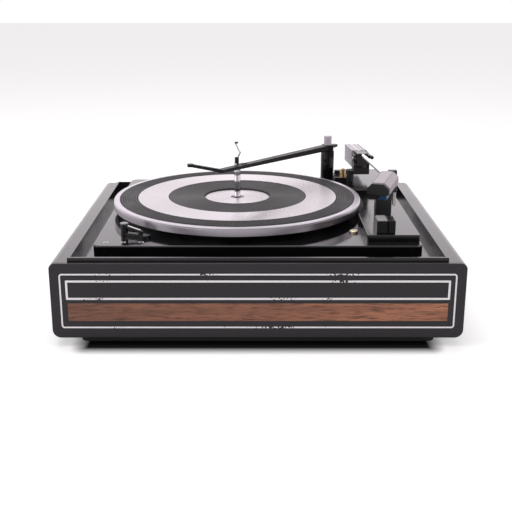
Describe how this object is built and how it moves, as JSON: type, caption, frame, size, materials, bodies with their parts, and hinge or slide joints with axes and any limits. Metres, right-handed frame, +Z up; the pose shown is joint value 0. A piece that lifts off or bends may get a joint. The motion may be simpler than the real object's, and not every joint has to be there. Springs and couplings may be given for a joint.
{
  "type": "record changer",
  "caption": "Automatic record changer on a low black plinth with a wood-grain front strip, stacking spindle, overarm and parked tonearm.",
  "frame": {"origin": "middle of the bounding box's bottom face, on the surface that the feet stand on", "axes": "+Z up, -Y towards the front panel, +X to the tonearm side"},
  "size_m": [0.394, 0.351, 0.1673],
  "materials": {
    "black_gloss": "gloss moulded",
    "black_satin": "satin moulded",
    "deck_enamel": "gloss enamel",
    "chrome": "polished",
    "silver_trim": "bright foil",
    "walnut": "oiled grain",
    "board": "painted fibreboard",
    "rubber": "moulded grooves",
    "platter_metal": "satin turned",
    "spun_aluminium": "spun",
    "grey_metal": "satin",
    "steel": "plated",
    "brass": "plain",
    "grey_plastic": "moulded",
    "white_plastic": "moulded",
    "blue_plastic": "moulded",
    "copper": "enamelled winding",
    "nylon": "moulded"
  },
  "bodies": {
    "plinth": {"plinth_shell": "black_gloss", "front_fascia": "black_satin", "outer_pinstripe": "silver_trim", "inner_pinstripe": "silver_trim", "panel_insert": "black_satin", "walnut_strip": "walnut", "base_board": "board", "base_screws": "steel", "feet": "rubber", "rear_socket_plate": "board", "signal_sockets": "steel", "mains_gland": "rubber", "deck_springs": "steel"},
    "deck": {"mainplate": "deck_enamel", "transit_screws": "brass", "bearing_post": "steel", "thrust_washer": "nylon", "motor_stack": "steel", "motor_coil": "copper", "motor_mounts": "rubber", "plate_studs": "steel", "spindle_shaft": "chrome", "spindle_head": "black_gloss", "spindle_finger": "chrome", "side_console": "black_gloss", "arm_rest": "black_satin", "overarm_post": "black_gloss", "tonearm_base": "black_satin", "cue_post": "black_gloss", "cue_sleeve": "brass"},
    "platter": {"platter": "platter_metal", "hub_pinion": "nylon", "outer_mat_ring": "rubber", "aluminium_ring": "spun_aluminium", "inner_mat_ring": "rubber", "centre_disc": "spun_aluminium"},
    "motor_rotor": {"motor_pulley": "brass"},
    "idler_arm": {"idler_arm": "steel"},
    "idler": {"idler_wheel": "steel", "idler_tyre": "rubber"},
    "cam_gear": {"cam_gear": "nylon"},
    "drop_blade": {"drop_blade": "steel"},
    "function_lever": {"function_lever": "black_satin", "function_plate": "grey_plastic"},
    "size_lever": {"size_lever": "black_satin"},
    "speed_lever": {"speed_lever": "black_satin", "speed_pointer": "white_plastic"},
    "arm_clip": {"arm_clip": "white_plastic"},
    "overarm_lifter": {"overarm_rod": "chrome"},
    "overarm": {"overarm": "black_satin", "overarm_cap": "grey_plastic"},
    "tonearm_yoke": {"tonearm_yoke": "black_satin", "pivot_screws": "steel", "bias_lever": "black_satin"},
    "tonearm": {"arm_housing": "black_satin", "arm_tube": "spun_aluminium", "headshell": "grey_metal", "cartridge": "black_satin", "stylus": "blue_plastic"},
    "counterweight": {"counterweight": "grey_metal"}
  },
  "joints": [
    {"name": "deck_float", "type": "slide", "parent": "plinth", "child": "deck", "axis": [0, 0, 1], "range_m": [-0.005, 0], "stiffness_N_per_m": 12000, "springref_m": 0.006, "deforming": ["deck_springs"]},
    {"name": "platter_spin", "type": "hinge", "parent": "deck", "child": "platter", "pos_m": [-0.0225, 0.0025, 0.104], "axis": [0, 0, 1], "continuous": true},
    {"name": "motor_pulley_spin", "type": "hinge", "parent": "deck", "child": "motor_rotor", "pos_m": [-0.09134, 0.09033, 0.098], "axis": [0, 0, 1], "continuous": true},
    {"name": "idler_arm_swing", "type": "hinge", "parent": "deck", "child": "idler_arm", "pos_m": [-0.06426, 0.0753, 0.094], "axis": [0, 0, 1], "range_deg": [0, 4], "stiffness_Nm_per_rad": 0.02, "springref_deg": -5.73},
    {"name": "idler_spin", "type": "hinge", "parent": "idler_arm", "child": "idler", "pos_m": [-0.10926, 0.0753, 0.099], "axis": [0, 0, 1], "continuous": true},
    {"name": "cam_gear_spin", "type": "hinge", "parent": "deck", "child": "cam_gear", "pos_m": [0.02461, -0.0247, 0.096], "axis": [0, 0, 1], "continuous": true},
    {"name": "record_pusher", "type": "slide", "parent": "deck", "child": "drop_blade", "axis": [1, 0, 0], "range_m": [0, 0.0016], "stiffness_N_per_m": 60, "springref_m": -0.002},
    {"name": "function_slide", "type": "slide", "parent": "deck", "child": "function_lever", "axis": [0, 1, 0], "range_m": [0, 0.012]},
    {"name": "size_slide", "type": "slide", "parent": "deck", "child": "size_lever", "axis": [0, 1, 0], "range_m": [0, 0.012]},
    {"name": "speed_select", "type": "hinge", "parent": "deck", "child": "speed_lever", "pos_m": [-0.113, -0.112, 0.092], "axis": [0, 0, 1], "range_deg": [-6, 34]},
    {"name": "arm_clip_turn", "type": "hinge", "parent": "deck", "child": "arm_clip", "pos_m": [0.1419, -0.066, 0.13], "axis": [0, 1, 0], "range_deg": [-6.5, 3.5]},
    {"name": "overarm_lift", "type": "slide", "parent": "deck", "child": "overarm_lifter", "axis": [0, 0, 1], "range_m": [0, 0.022]},
    {"name": "overarm_swing", "type": "hinge", "parent": "overarm_lifter", "child": "overarm", "pos_m": [0.089, 0.147, 0.134], "axis": [0, 0, 1], "range_deg": [0, 30]},
    {"name": "tonearm_swing", "type": "hinge", "parent": "deck", "child": "tonearm_yoke", "pos_m": [0.1125, 0.092, 0.115], "axis": [0, 0, 1], "range_deg": [-46, 0]},
    {"name": "tonearm_lift", "type": "hinge", "parent": "tonearm_yoke", "child": "tonearm", "pos_m": [0.124, 0.086, 0.1315], "axis": [-0.999, -0.0454, 0], "range_deg": [0, 6]},
    {"name": "counterweight_slide", "type": "slide", "parent": "tonearm", "child": "counterweight", "axis": [-0.0453, 0.9977, -0.0506], "range_m": [0, 0.005]}
  ],
  "couplings": [
    {"joint": "idler_spin", "follows": "platter_spin", "ratio": 6.67},
    {"joint": "motor_pulley_spin", "follows": "platter_spin", "ratio": -41.173}
  ]
}
